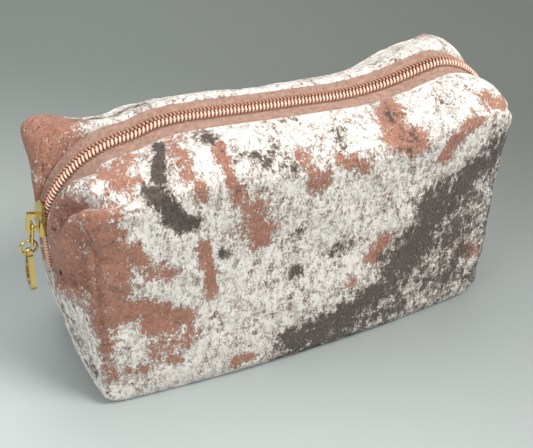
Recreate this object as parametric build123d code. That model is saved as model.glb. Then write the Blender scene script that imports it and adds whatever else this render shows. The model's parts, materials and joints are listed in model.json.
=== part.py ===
from collections import namedtuple
import math
import os

from build123d import *

# Boxed velvet makeup bag with a coil zip over its top and down both ends.
# Millimetres. Origin under the middle of the base, +X along the bag, +Z up.
# The front face looks along -Y. The zip slider is parked on the -X end.

# ---- outer form -----------------------------------------------------------
CORNER_HALF = 88.0      # half length between the four upright corner seams
BAND_HALF = 96.5        # half length at the zip, where the ends bulge
CORNER_H = 100.0        # height of the top corners
BAND_H = 106.5          # height of the crowned top under the zip
HALF_DEPTH = 32.0       # base to front face and base to back face
EDGE = 2.5              # soft edge between the faces and the top and ends
SHOULDER_Y = 20.0       # where the crown of the top starts to fall away
ZIP_OPENING = 9.4       # half width of the slot between the velvet edges
R_TRACK = 36.0          # the zip turns down the slider's end on this radius
R_FAR = 28.0            # and down the far end on this tighter one
TRACK_X = BAND_HALF - R_TRACK
TRACK_Z = BAND_H - R_TRACK
SEAM_Z = 54.5           # the zip ends in a seam at this height on both ends

# ---- layers, measured inwards from the velvet face --------------------------
VELVET = 1.2
TAPE_BOTTOM = 1.8
PADDING_BOTTOM = 3.4
THREAD_BOTTOM = 3.65
LINING_TOP = 3.7
LINING_BOTTOM = 4.0
SPLIT = 0.15            # half gap between front and back pieces at the zip

# ---- zip --------------------------------------------------------------------
TAPE_HALF = 16.0        # centre of the chain to the outer edge of a tape
COIL_INNER = 0.65
COIL_OUTER = 3.1
COIL_RISE = 0.9         # coil top above the velvet face
CORE_INNER = 1.5
CORE_OUTER = 2.4
CORE_TOP = 0.2
CORE_BOTTOM = 0.7       # core cord, inwards from the velvet face
THREAD_WIDTH = 1.0
ZIP_STITCH_Y = 12.5     # line that sews velvet, tape and lining together
CORNER_THREAD_LOW = 10.0
CORNER_THREAD_HIGH = 88.0
THREAD_REACH = 70.0     # seam threads at the ends lie further out than this

# ---- mouth ------------------------------------------------------------------
MOUTH_X = -30.0         # the opening lips start here on the top
LIP_GAP = 0.35

# ---- slider and pull ----------------------------------------------------------
SLIDER_ANGLE = 10.0     # degrees up the arc from its lower end
SLIDER_HALF_LENGTH = 4.2
NOSE_LENGTH = 3.6
SLIDER_HALF_WIDTH = 4.7
FLANGE_INNER = 3.5
RUN_GAP = 0.3
PLATE = 1.1
NOSE_TIP_HALF = 0.9
POST_ANGLE_BACK = 1.2   # the divider post sits this far down from the slider's middle
TOP_PLATE_R = R_TRACK + COIL_RISE + RUN_GAP
BOTTOM_PLATE_R = R_TRACK - TAPE_BOTTOM - RUN_GAP - PLATE
POST_HALF_WIDTH = 0.35
POST_HALF_LENGTH = 1.3
CROWN_HALF_WIDTH = 0.8
CROWN_TOP_R = R_TRACK + 6.4
CROWN_BAR = 1.2
CROWN_LEG = 1.4
CROWN_LENGTH = 7.4
SPRING_HALF_WIDTH = 0.5
SPRING_LEAF = 0.4
SPRING_PIN = 1.2
EYE_R = CROWN_TOP_R - 2.2
EYE_OFF_LEG = 1.6       # centre of the link's wire above the crown's lower leg
LINK_WIRE = 0.5
LINK_LENGTH = 9.5       # centre to centre of its end wires
LINK_HALF_WIDTH = 1.85
LINK_TILT = 8.0         # leans outwards from straight down
LINK_CORNER = 0.9
RING_R = 3.15
RING_WIRE = 0.55
RING_TURN = 25.0        # the link crosses the ring this far from its top
RING_SPLIT = 0.25       # width of the cut where the ring was closed
RING_SPLIT_TURN = -35.0
WIRE_GAP = 0.15         # between the link and the ring that hangs in it
PULL_GAP = 0.4          # between the ring and the top of the pull's hole
PULL_THICKNESS = 2.0
PULL_TOP_R = 2.6
PULL_TOP_HOLE = 1.25
PULL_BOTTOM_R = 5.4
PULL_BOTTOM_HOLE = 3.0
PULL_SPAN = 11.4
PULL_TILT = 4.0

os.makedirs("parts", exist_ok=True)


Station = namedtuple("Station", "depth half top r_low r_slider r_far")
SLOT = Station(ZIP_OPENING, BAND_HALF, BAND_H, 14.0, R_TRACK, R_FAR)
FRONT_SHOULDER = Station(SHOULDER_Y, 94.0, 104.6, 11.0, 26.0, 22.0)
BACK_SHOULDER = Station(SHOULDER_Y, 94.0, 104.6, 11.0, 20.0, 18.0)
SOFT_EDGE = Station(HALF_DEPTH - EDGE, CORNER_HALF, CORNER_H, 8.0, 10.0, 10.0)
FACE = Station(HALF_DEPTH, CORNER_HALF - 2.0, CORNER_H - 2.0, 5.0, 7.0, 7.0)
SMALLEST_R = 1.0


def corner(x_sign, half, z_edge, z_sign, radius):
    """Start, middle and end of one rounded corner of a side outline."""
    centre = (x_sign * (half - radius), z_edge - z_sign * radius)
    reach = radius * math.sqrt(0.5)
    side = (centre[0] + x_sign * radius, centre[1])
    middle = (centre[0] + x_sign * reach, centre[1] + z_sign * reach)
    level = (centre[0], centre[1] + z_sign * radius)
    return side, middle, level


def profile(y, station, inset):
    """Side outline of the bag at one depth, drawn inset from the velvet face."""
    half = station.half - inset
    top = station.top - inset
    radii = [max(r - inset, SMALLEST_R) for r in (station.r_low, station.r_slider, station.r_far)]
    low_right = corner(1, half, inset, -1, radii[0])
    high_right = corner(1, half, top, 1, radii[2])
    high_left = corner(-1, half, top, 1, radii[1])
    low_left = corner(-1, half, inset, -1, radii[0])
    edges = [
        ThreePointArc(*reversed(low_right)),
        Line(low_right[0], high_right[0]),
        ThreePointArc(*high_right),
        Line(high_right[2], high_left[2]),
        ThreePointArc(*reversed(high_left)),
        Line(high_left[0], low_left[0]),
        ThreePointArc(*low_left),
        Line(low_left[2], low_right[2]),
    ]
    face = make_face(Wire(edges))
    return Plane(origin=(0, y, 0), x_dir=(1, 0, 0), z_dir=(0, -1, 0)) * face


def bag_volume(inset):
    """The whole bag as one closed form, inset by a layer depth."""
    sections = []
    for sign, shoulder in ((-1, FRONT_SHOULDER), (1, BACK_SHOULDER)):
        half = []
        for station in (FACE, SOFT_EDGE):
            half.append(profile(sign * (station.depth - inset), station, inset))
        for station in (shoulder, SLOT):
            half.append(profile(sign * station.depth, station, inset))
        sections += half if sign < 0 else half[::-1]
    return loft(sections, ruled=True)


def box_between(low, high):
    size = [b - a for a, b in zip(low, high)]
    centre = [(a + b) / 2 for a, b in zip(low, high)]
    return Pos(*centre) * Box(*size)


BIG = 150.0
above_seams = box_between((-BIG, -BIG, SEAM_Z), (BIG, BIG, BIG))
zip_slot = box_between((-BIG, -ZIP_OPENING, SEAM_Z), (BIG, ZIP_OPENING, BIG))
front_half = box_between((-BIG, -BIG, -BIG), (BIG, -SPLIT, BIG))
back_half = box_between((-BIG, SPLIT, -BIG), (BIG, BIG, BIG))


def mouth_region(gap):
    """Everything above the slanted line that the open mouth folds on."""
    dx = BAND_HALF - MOUTH_X
    dz = SEAM_Z - BAND_H
    length = math.hypot(dx, dz)
    nx = -dz / length
    nz = dx / length
    start = (MOUTH_X + nx * gap - dx, BAND_H + nz * gap - dz)
    end = (BAND_HALF + nx * gap + dx, SEAM_Z + nz * gap + dz)
    far = 3 * BIG
    outline = Polyline(start, end, (end[0], far), (start[0], far), close=True)
    face = Plane(origin=(0, BIG, 0), x_dir=(1, 0, 0), z_dir=(0, -1, 0)) * make_face(outline)
    return extrude(face, 2 * BIG, dir=(0, -1, 0))


mouth = mouth_region(LIP_GAP)
below_mouth = mouth_region(0.0)

outer = bag_volume(0)
under_velvet = bag_volume(VELVET)
under_tape = bag_volume(TAPE_BOTTOM)
under_padding = bag_volume(PADDING_BOTTOM)
thread_level = bag_volume(THREAD_BOTTOM)
lining_face = bag_volume(LINING_TOP)
inside = bag_volume(LINING_BOTTOM)

parts = {}


def keep(name, shape):
    """Store a piece and write its STEP file."""
    solids = shape.solids()
    shape = Compound(children=list(solids)) if len(solids) > 1 else solids[0]
    shape.label = name
    parts[name] = shape
    export_step(shape, f"parts/{name}.step")


def keep_shell(name, layer):
    """A fabric layer: one fixed shell, and the two lips that open."""
    keep(name, layer - below_mouth)
    keep(f"{name}_front_lip", layer & mouth & front_half)
    keep(f"{name}_back_lip", layer & mouth & back_half)


def keep_pair(name, layer):
    """A zip piece in front and back halves, each with its fixed and lip part."""
    for side, half in (("front", front_half), ("back", back_half)):
        strip = layer & half
        keep(f"{name}_{side}", strip - below_mouth)
        keep(f"{name}_{side}_lip", strip & mouth)


def y_strips(inner, outer_y):
    """Two bars along X, either side of the chain, above the end seams."""
    bars = []
    for sign in (-1, 1):
        ys = sorted((sign * inner, sign * outer_y))
        bars.append(box_between((-BIG, ys[0], SEAM_Z), (BIG, ys[1], BIG)))
    return bars[0] + bars[1]


# ---- fabric layers ---------------------------------------------------------------
tape_zone = y_strips(COIL_INNER, TAPE_HALF)
velvet = outer - under_velvet - zip_slot
tape = (under_velvet - under_tape) & tape_zone
padding = under_velvet - under_padding - zip_slot - ((under_velvet - under_tape) & tape_zone)
lining = lining_face - inside - zip_slot
keep_shell("velvet", velvet)
keep_shell("padding", padding)
keep_shell("lining", lining)

# ---- zip: tapes, coils, core cords -------------------------------------------------
keep_pair("zip_tape", tape)


def chain_ring(low_inset, high_inset):
    """A band over the track between two heights, across the whole chain."""
    section = profile(0, SLOT, high_inset) - profile(0, SLOT, low_inset)
    return extrude(section, ZIP_OPENING, dir=(0, -1, 0), both=True)


core = chain_ring(CORE_BOTTOM, CORE_TOP) & y_strips(CORE_INNER, CORE_OUTER)
coil = chain_ring(VELVET, -COIL_RISE) & y_strips(COIL_INNER, COIL_OUTER)
keep_pair("zip_coil", coil - core)
keep_pair("coil_cord", core)

# ---- seam threads ---------------------------------------------------------------------
thread_layer = under_padding - thread_level
half_thread = THREAD_WIDTH / 2
zip_lines = y_strips(ZIP_STITCH_Y - half_thread, ZIP_STITCH_Y + half_thread)
keep_pair("zip_thread", thread_layer & zip_lines)
seam_y = HALF_DEPTH - EDGE - PADDING_BOTTOM
fixed_threads = thread_layer - below_mouth
for side, sign in (("left", -1), ("right", 1)):
    xs = sorted((sign * THREAD_REACH, sign * BIG))
    end_line = box_between((xs[0], -seam_y, SEAM_Z - THREAD_WIDTH), (xs[1], seam_y, SEAM_Z))
    keep(f"end_seam_thread_{side}", thread_layer & end_line)
    for face_name, face_sign in (("front", -1), ("back", 1)):
        ys = sorted((face_sign * seam_y, face_sign * (seam_y + THREAD_WIDTH)))
        upright = box_between((xs[0], ys[0], CORNER_THREAD_LOW), (xs[1], ys[1], CORNER_THREAD_HIGH))
        keep(f"corner_thread_{side}_{face_name}", fixed_threads & upright)
        if side == "right":
            keep(f"corner_thread_right_{face_name}_lip", thread_layer & mouth & upright)


# ---- slider, built square to the track at angle zero and turned up to its place --------
def arc_block(r0, r1, a0, a1, y0, y1):
    """A block between two radii and two angles about the left track centre."""
    def at(r, a):
        rad = math.radians(a)
        return (-TRACK_X - r * math.cos(rad), TRACK_Z + r * math.sin(rad))
    mid = (a0 + a1) / 2
    edges = [
        ThreePointArc(at(r1, a0), at(r1, mid), at(r1, a1)),
        Line(at(r1, a1), at(r0, a1)),
        ThreePointArc(at(r0, a1), at(r0, mid), at(r0, a0)),
        Line(at(r0, a0), at(r1, a0)),
    ]
    face = make_face(Wire(edges))
    placed = Plane(origin=(0, y1, 0), x_dir=(1, 0, 0), z_dir=(0, -1, 0)) * face
    return extrude(placed, y1 - y0, dir=(0, -1, 0))


def degrees_of(mm):
    return math.degrees(mm / R_TRACK)


lower = SLIDER_ANGLE - degrees_of(SLIDER_HALF_LENGTH)
upper = SLIDER_ANGLE + degrees_of(SLIDER_HALF_LENGTH)
nose = upper + degrees_of(NOSE_LENGTH)
plate_top_r = TOP_PLATE_R + PLATE


def nose_cut(sign):
    """Wedge that narrows the upper plates to a point."""
    reach = NOSE_LENGTH + 1.0
    rad = math.radians((upper + nose) / 2)
    outline = Polyline(
        (0, sign * SLIDER_HALF_WIDTH),
        (reach, sign * NOSE_TIP_HALF),
        (reach, sign * 2 * SLIDER_HALF_WIDTH),
        (0, sign * 2 * SLIDER_HALF_WIDTH),
        close=True,
    )
    wedge = extrude(make_face(outline), 3 * SLIDER_HALF_WIDTH, both=True)
    start = math.radians(upper)
    base = (-TRACK_X - R_TRACK * math.cos(start), 0, TRACK_Z + R_TRACK * math.sin(start))
    along = (math.sin(rad), 0, math.cos(rad))
    outward = (-math.cos(rad), 0, math.sin(rad))
    return Plane(origin=base, x_dir=along, z_dir=outward) * wedge



def slider_block(r0, r1, start, end, half_width):
    """A slider or crown block across the middle of the track."""
    return arc_block(r0, r1, start, end, -half_width, half_width)


slider = slider_block(TOP_PLATE_R, plate_top_r, lower, nose, SLIDER_HALF_WIDTH)
slider += slider_block(BOTTOM_PLATE_R, BOTTOM_PLATE_R + PLATE, lower, upper, SLIDER_HALF_WIDTH)
tape_top_r = R_TRACK - VELVET
for sign in (-1, 1):
    y0, y1 = sorted((sign * FLANGE_INNER, sign * SLIDER_HALF_WIDTH))
    slider += arc_block(tape_top_r + RUN_GAP, plate_top_r, lower, upper, y0, y1)
post_angle = SLIDER_ANGLE - degrees_of(POST_ANGLE_BACK)
post_reach = degrees_of(POST_HALF_LENGTH)
post_ends = (post_angle - post_reach, post_angle + post_reach)
post = slider_block(BOTTOM_PLATE_R, plate_top_r, *post_ends, POST_HALF_WIDTH)
slider = slider - nose_cut(1) - nose_cut(-1) + post

crown_low = lower
crown_high = lower + degrees_of(CROWN_LENGTH)
leg = degrees_of(CROWN_LEG)
bar_r = CROWN_TOP_R - CROWN_BAR
crown = slider_block(bar_r, CROWN_TOP_R, crown_low, crown_high, CROWN_HALF_WIDTH)
crown += slider_block(plate_top_r, CROWN_TOP_R, crown_low, crown_low + leg, CROWN_HALF_WIDTH)
crown += slider_block(plate_top_r, CROWN_TOP_R, crown_high - leg, crown_high, CROWN_HALF_WIDTH)
leaf_start = crown_low + 2.2 * leg
pin_start = crown_high - 1.8 * leg
spring_end = crown_high - leg
leaf_r = plate_top_r + SPRING_LEAF
pin_r = plate_top_r + SPRING_PIN
lock_spring = slider_block(plate_top_r, leaf_r, leaf_start, spring_end, SPRING_HALF_WIDTH)
lock_spring += slider_block(plate_top_r, pin_r, pin_start, spring_end, SPRING_HALF_WIDTH)
keep("slider_body", slider)
keep("slider_crown", crown)
keep("slider_lock_spring", lock_spring)

# ---- link, ring and pull -------------------------------------------------------------------
eye_rad = math.radians(crown_low + leg + degrees_of(EYE_OFF_LEG))
EYE = (-TRACK_X - EYE_R * math.cos(eye_rad), 0, TRACK_Z + EYE_R * math.sin(eye_rad))


def leaning(point, tilt, distance):
    """A point that far down from the given one, leaning outwards by tilt."""
    rad = math.radians(tilt)
    return (point[0] - distance * math.sin(rad), 0, point[2] - distance * math.cos(rad))


LINK_END = leaning(EYE, LINK_TILT, LINK_LENGTH)
tilt_rad = math.radians(LINK_TILT)
link_plane = Plane(origin=EYE, x_dir=(0, 1, 0),
                   z_dir=(-math.cos(tilt_rad), 0, math.sin(tilt_rad)))
link_shape = RectangleRounded(2 * LINK_HALF_WIDTH, LINK_LENGTH, LINK_CORNER)
link_outline = Pos(0, LINK_LENGTH / 2) * link_shape
link_path = (link_plane * link_outline).wire()
link = sweep(Plane(origin=link_path @ 0, z_dir=link_path % 0) * Circle(LINK_WIRE), path=link_path)
keep("connector_link", link)

ring_hold = leaning(EYE, LINK_TILT, LINK_LENGTH - LINK_WIRE - WIRE_GAP - RING_WIRE)
RING_CENTRE = leaning(ring_hold, RING_TURN, RING_R)
ring = Pos(*RING_CENTRE) * (Rot(90, 0, 0) * Torus(RING_R, RING_WIRE))
split_rad = math.radians(RING_SPLIT_TURN)
split_at = (RING_CENTRE[0] + RING_R * math.cos(split_rad), 0,
            RING_CENTRE[2] + RING_R * math.sin(split_rad))
cutter = Box(4 * RING_WIRE, 4 * RING_WIRE, RING_SPLIT)
split = Pos(*split_at) * (Rot(0, -RING_SPLIT_TURN, 0) * cutter)
keep("jump_ring", ring - split)

pull_rad = math.radians(PULL_TILT)
pull_top = leaning(RING_CENTRE, PULL_TILT, RING_R - PULL_GAP - RING_WIRE + PULL_TOP_HOLE)
pull_plane = Plane(origin=pull_top, x_dir=(0, 1, 0),
                   z_dir=(-math.cos(pull_rad), 0, math.sin(pull_rad)))


def drop_outline(r_top, r_bottom):
    """A small circle and a large one below it, wrapped by a tangent outline."""
    return make_hull((Circle(r_top).edge(), Pos(0, PULL_SPAN) * Circle(r_bottom).edge()))


pull_face = drop_outline(PULL_TOP_R, PULL_BOTTOM_R) - drop_outline(PULL_TOP_HOLE, PULL_BOTTOM_HOLE)
pull = extrude(pull_plane * pull_face, PULL_THICKNESS / 2, both=True)
keep("pull_hoop", pull)
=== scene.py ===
"""A crushed-velvet makeup bag with a curved zip, standing on a pale floor. Lengths are millimetres."""

import json
import math
from functools import lru_cache

import bpy
import numpy as np
from mathutils import Matrix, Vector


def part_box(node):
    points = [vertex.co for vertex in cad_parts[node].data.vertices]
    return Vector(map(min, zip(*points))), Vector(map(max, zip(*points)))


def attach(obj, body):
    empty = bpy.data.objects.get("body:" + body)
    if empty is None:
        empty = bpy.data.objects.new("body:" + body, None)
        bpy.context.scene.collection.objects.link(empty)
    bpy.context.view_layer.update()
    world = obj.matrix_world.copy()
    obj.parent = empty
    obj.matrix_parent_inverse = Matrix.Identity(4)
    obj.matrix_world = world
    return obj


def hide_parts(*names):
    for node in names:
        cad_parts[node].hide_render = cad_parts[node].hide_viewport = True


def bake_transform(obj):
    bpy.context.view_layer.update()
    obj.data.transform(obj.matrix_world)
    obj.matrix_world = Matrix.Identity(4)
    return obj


MM = 0.001

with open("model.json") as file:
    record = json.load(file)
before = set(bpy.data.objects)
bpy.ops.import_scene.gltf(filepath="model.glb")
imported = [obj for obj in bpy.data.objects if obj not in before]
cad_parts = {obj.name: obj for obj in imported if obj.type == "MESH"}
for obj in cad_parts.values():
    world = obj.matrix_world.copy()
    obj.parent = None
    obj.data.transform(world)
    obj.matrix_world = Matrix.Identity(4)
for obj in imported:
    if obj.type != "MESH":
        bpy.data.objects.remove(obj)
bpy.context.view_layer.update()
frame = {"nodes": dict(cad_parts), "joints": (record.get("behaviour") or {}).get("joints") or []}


# ---------------------------------------------------------------- measures read from the frame

def box_mm(node):
    """The lowest and highest corner of a CAD node, in millimetres."""
    low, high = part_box(node)
    return np.array(low) / MM, np.array(high) / MM


def joint_place(name):
    """Where a joint's axis passes, in millimetres."""
    found = [joint for joint in frame["joints"] if joint["name"] == name]
    return np.array(found[0]["pos_m"]) / MM


VELVET_HIGH = box_mm("velvet")[1]
BAND_HALF = VELVET_HIGH[0]
HALF_DEPTH = VELVET_HIGH[1]
BAND_TOP = VELVET_HIGH[2]
ZIP_OPENING = -box_mm("velvet_front_lip")[1][1]
TRACK_X = -joint_place("slider_run")[0]
TRACK_Z = joint_place("slider_run")[2]
TRACK_R = BAND_TOP - TRACK_Z
SEAM_Z = joint_place("front_lip_open")[2]

CORNER_HALF = 88.0
CORNER_TOP = 100.0
CORNER_R = 10.0
FAR_R = 28.0
FOOT_R = 14.0
FOOT_R_LOSS = 6.0
LEAST_R = 1.0
SEAM_CLIMB = 9.0
EDGE = 3.0
LEAST_EDGE = 0.8
VELVET_THICK = 1.2
TAPE_DEPTH = (1.2, 1.75)
PADDING_DEPTH = (2.15, 3.4)
LINING_DEPTH = (3.7, 4.0)
TAPE_HALF = 13.6
COIL_PITCH = 1.5


# ---------------------------------------------------------------- small helpers

def smooth(low, high, value):
    """Zero below low, one above high, and a smooth step between."""
    t = np.clip((value - low) / (high - low), 0.0, 1.0)
    return t * t * (3.0 - 2.0 * t)


def ripples(points, wavelength, seed, waves=14):
    """A soft random field of that wavelength, about -1 to 1."""
    rng = np.random.default_rng(seed)
    total = np.zeros(len(points))
    for _ in range(waves):
        direction = rng.normal(size=3)
        direction /= np.linalg.norm(direction)
        length = wavelength * rng.uniform(0.7, 1.5)
        total += np.sin(points @ direction * 2.0 * math.pi / length + rng.uniform(0, 2.0 * math.pi))
    return total / math.sqrt(waves)


def line_distance(points, line):
    """The distance from each point to a polyline, and how far along it the nearest place is, 0 to 1."""
    line = np.array(line, float)
    nearest = np.full(len(points), 1e9)
    along = np.zeros(len(points))
    lengths = np.linalg.norm(np.diff(line, axis=0), axis=1)
    before = np.concatenate([[0.0], np.cumsum(lengths)])
    for index, (start, end) in enumerate(zip(line[:-1], line[1:])):
        step = end - start
        t = np.clip((points - start) @ step / max(step @ step, 1e-9), 0.0, 1.0)
        distance = np.linalg.norm(points - start - t[:, None] * step, axis=1)
        closer = distance < nearest
        nearest = np.where(closer, distance, nearest)
        along = np.where(closer, (before[index] + t * lengths[index]) / max(before[-1], 1e-9), along)
    return nearest, along


def lengths_along(line):
    """The length along a polyline at each of its points."""
    return np.concatenate([[0.0], np.cumsum(np.linalg.norm(np.diff(line, axis=0), axis=1))])


def laid_on(points, line, spacing=3.5):
    """The same polyline, laid on the surface that the points make."""
    line = np.array(line, float)
    lengths = lengths_along(line)
    places = np.linspace(0.0, lengths[-1], max(int(lengths[-1] / spacing), 1) + 1)
    line = np.stack([np.interp(places, lengths, line[:, k]) for k in range(3)], axis=1)
    gaps = np.linalg.norm(points[None, ::3] - line[:, None], axis=2)
    return points[::3][np.argmin(gaps, axis=1)]


def stroke(points, line, width, height):
    """A ridge (or, with a negative height, a crease) along a polyline, fading at its ends."""
    distance, along = line_distance(points, laid_on(points, line))
    fade = smooth(0.0, 0.2, along) * smooth(0.0, 0.2, 1.0 - along)
    return height * (0.25 + 0.75 * fade) * np.exp(-((distance / width) ** 2))


def grid_faces(rows, columns):
    """The quads of a grid of points that is numbered row by row."""
    corner = np.arange(rows - 1)[:, None] * columns + np.arange(columns - 1)
    corner = corner.ravel()
    return np.stack([corner, corner + 1, corner + columns + 1, corner + columns], axis=1)


def border_edges(faces):
    """The edges that only one face uses, in that face's order."""
    edges = np.concatenate([faces[:, [i, (i + 1) % 4]] for i in range(4)])
    key = np.sort(edges, axis=1)
    _, first, count = np.unique(key, axis=0, return_index=True, return_counts=True)
    return edges[first[count == 1]]


def compact(points, faces, *extra):
    """Drops the points that no face uses."""
    used, renumbered = np.unique(faces, return_inverse=True)
    faces = renumbered.reshape(faces.shape)
    return (points[used], faces, *[values[used] for values in extra])


def shell_faces(faces, count):
    """The faces of a closed shell: an outer sheet, an inner one after count points, and the rims."""
    inner = faces[:, ::-1] + count
    edges = border_edges(faces)
    rims = np.stack([edges[:, 1], edges[:, 0], edges[:, 0] + count, edges[:, 1] + count], axis=1)
    return np.concatenate([faces, inner, rims]), len(rims)


def add_object(name, data):
    """A new object in the scene."""
    thing = bpy.data.objects.new(name, data)
    bpy.context.scene.collection.objects.link(thing)
    return thing


def make_mesh(name, points, faces, material, fields=None, sharp_rims=0):
    """A smooth mesh from millimetre points. fields are extra values to store at each point."""
    mesh = bpy.data.meshes.new(name)
    mesh.from_pydata((points * MM).tolist(), [], faces.tolist())
    mesh.update()
    mesh.polygons.foreach_set("use_smooth", np.ones(len(mesh.polygons), bool))
    if sharp_rims:
        mark_rims(mesh, sharp_rims)
    rest = mesh.attributes.new("rest", "FLOAT_VECTOR", "POINT")
    rest.data.foreach_set("vector", points.astype(np.float32).ravel())
    for field, values in (fields or {}).items():
        stored = mesh.attributes.new(field, "FLOAT", "POINT")
        stored.data.foreach_set("value", np.asarray(values, np.float32))
    mesh.materials.append(material)
    return add_object(name, mesh)


def mark_rims(mesh, rims):
    """Makes the edges round the last faces sharp, so the broad faces shade on their own."""
    edges = set()
    for polygon in mesh.polygons[len(mesh.polygons) - rims:]:
        edges.update(polygon.edge_keys)
    sharp = mesh.attributes.new("sharp_edge", "BOOLEAN", "EDGE")
    keys = [tuple(sorted(edge.vertices)) for edge in mesh.edges]
    edges = {tuple(sorted(edge)) for edge in edges}
    sharp.data.foreach_set("value", np.array([key in edges for key in keys], bool))


# ---------------------------------------------------------------- materials

def connect(tree, socket, value):
    """Sets a socket to a number or a colour, or links it from another socket."""
    if isinstance(value, bpy.types.NodeSocket):
        tree.links.new(value, socket)
    elif isinstance(value, tuple) and len(value) == 3 and len(socket.default_value) == 4:
        socket.default_value = (*value, 1.0)
    else:
        socket.default_value = value


def add_node(tree, kind, inputs=None, output=0, **settings):
    """Adds a node and gives back one of its outputs."""
    node = tree.nodes.new(kind)
    for name, value in settings.items():
        setattr(node, name, value)
    for name, value in (inputs or {}).items():
        connect(tree, node.inputs[name], value)
    return node.outputs[output]


def new_material(name):
    """An empty material's node tree, with its principled shader."""
    material = bpy.data.materials.new(name)
    material.use_nodes = True
    tree = material.node_tree
    shader = tree.nodes["Principled BSDF"]
    return material, tree, shader


def math_node(tree, operation, first, second=0.0, third=0.0):
    """One arithmetic step."""
    inputs = {0: first, 1: second, 2: third}
    return add_node(tree, "ShaderNodeMath", inputs, operation=operation)


def noise(tree, place, scale, detail=3.0, roughness=0.55, distortion=0.0):
    """Random values about 0.5 over the cloth; scale is per millimetre."""
    inputs = {"Vector": place, "Scale": scale, "Detail": detail}
    inputs["Roughness"] = roughness
    inputs["Distortion"] = distortion
    return add_node(tree, "ShaderNodeTexNoise", inputs)


def stretched(tree, place, scale, turn=(0.0, 0.0, 0.0)):
    """The same place with its axes turned and scaled, for long strokes."""
    return add_node(tree, "ShaderNodeMapping", {"Vector": place, "Scale": scale, "Rotation": turn})


def step(tree, value, low, high, start=0.0, end=1.0):
    """A smooth step of a value."""
    inputs = {"Value": value, "From Min": low, "From Max": high, "To Min": start, "To Max": end}
    return add_node(tree, "ShaderNodeMapRange", inputs, interpolation_type="SMOOTHSTEP")


def blend_colours(tree, share, first, second):
    """One colour turning into another as share goes from 0 to 1."""
    node = tree.nodes.new("ShaderNodeMix")
    node.data_type = "RGBA"
    connect(tree, node.inputs[0], share)
    connect(tree, node.inputs[6], first)
    connect(tree, node.inputs[7], second)
    return node.outputs[2]


def stored(tree, name, vector=False):
    """A value that the mesh keeps at its points."""
    return add_node(tree, "ShaderNodeAttribute", output=1 if vector else 2, attribute_name=name)


def bump(tree, height, strength, distance):
    """A surface normal from a height."""
    return add_node(tree, "ShaderNodeBump", {"Height": height, "Strength": strength, "Distance": distance})


WHITE = (0.82, 0.775, 0.72)
PALE_GREY = (0.50, 0.45, 0.405)
PILE_GREY = (0.25, 0.205, 0.17)
ROSE = (0.43, 0.205, 0.14)
ROSE_DEEP = (0.155, 0.068, 0.042)
# TAUPE and TAUPE_DEEP colour the velvet's dark patches, and also the painted shade that some of those
# patches lay on it.
TAUPE = (0.125, 0.10, 0.086)
TAUPE_DEEP = (0.055, 0.04, 0.033)


def summed(tree, terms, base):
    """A base value plus each (value, weight) times its weight."""
    total = base
    for value, weight in terms:
        total = math_node(tree, "MULTIPLY_ADD", value, weight, total)
    return total


def velvet_material():
    """Crushed velvet: pale crushed pile lying over rose and taupe, thinning out towards their patches."""
    material, tree, shader = new_material("velvet")
    place = stored(tree, "rest", vector=True)
    broad = noise(tree, place, 0.10, 3.0, 0.6)
    middle = noise(tree, place, 0.38, 4.0, 0.68, 0.4)
    flecks = noise(tree, stretched(tree, place, (1.25, 1.0, 0.8), (0.0, 0.5, 0.0)), 0.95, 3.0, 0.75, 0.5)
    fine = noise(tree, stretched(tree, place, (1.0, 1.0, 0.6), (0.0, -0.5, 0.0)), 2.4, 2.0, 0.7)
    brushed = noise(tree, stretched(tree, place, (0.7, 0.5, 0.22), (0.0, -0.9, 0.0)), 0.62, 4.0, 0.72, 0.6)
    ragged = summed(tree, [(middle, 2.1), (broad, 1.3), (brushed, 1.9)], -2.70)
    rose = math_node(tree, "ADD", stored(tree, "rose"), ragged)
    # The stored dark field holds the velvet's dark patches and also painted shade.
    dark = math_node(tree, "ADD", stored(tree, "dark"), ragged)
    bare = math_node(tree, "MAXIMUM", rose, dark)
    cover = summed(tree, [(flecks, 2.6), (fine, 1.1), (bare, -1.05)], -1.62)
    cover = step(tree, cover, -0.24, 0.34)
    rose_shade = step(tree, summed(tree, [(flecks, 0.9), (middle, 0.9)], -0.4), 0.10, 0.75)
    rose_colour = blend_colours(tree, rose_shade, ROSE_DEEP, ROSE)
    taupe_colour = blend_colours(tree, step(tree, flecks, 0.36, 0.66), TAUPE_DEEP, TAUPE)
    under = blend_colours(tree, step(tree, rose, 0.20, 0.46), PILE_GREY, rose_colour)
    under = blend_colours(tree, step(tree, dark, 0.30, 0.58), under, taupe_colour)
    veil = noise(tree, stretched(tree, place, (1.0, 0.8, 0.5), (0.0, 0.7, 0.0)), 0.45, 4.0, 0.7, 0.8)
    pale = blend_colours(tree, step(tree, veil, 0.46, 0.64), WHITE, PALE_GREY)
    colour = blend_colours(tree, cover, under, pale)
    connect(tree, shader.inputs["Base Color"], colour)
    shader.inputs["Roughness"].default_value = 0.85
    shader.inputs["Specular IOR Level"].default_value = 0.25
    shader.inputs["Sheen Weight"].default_value = 0.12
    shader.inputs["Sheen Roughness"].default_value = 0.5
    height = math_node(tree, "MULTIPLY_ADD", fine, 0.5, flecks)
    connect(tree, shader.inputs["Normal"], bump(tree, height, 0.8, 0.0009))
    return material


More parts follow.
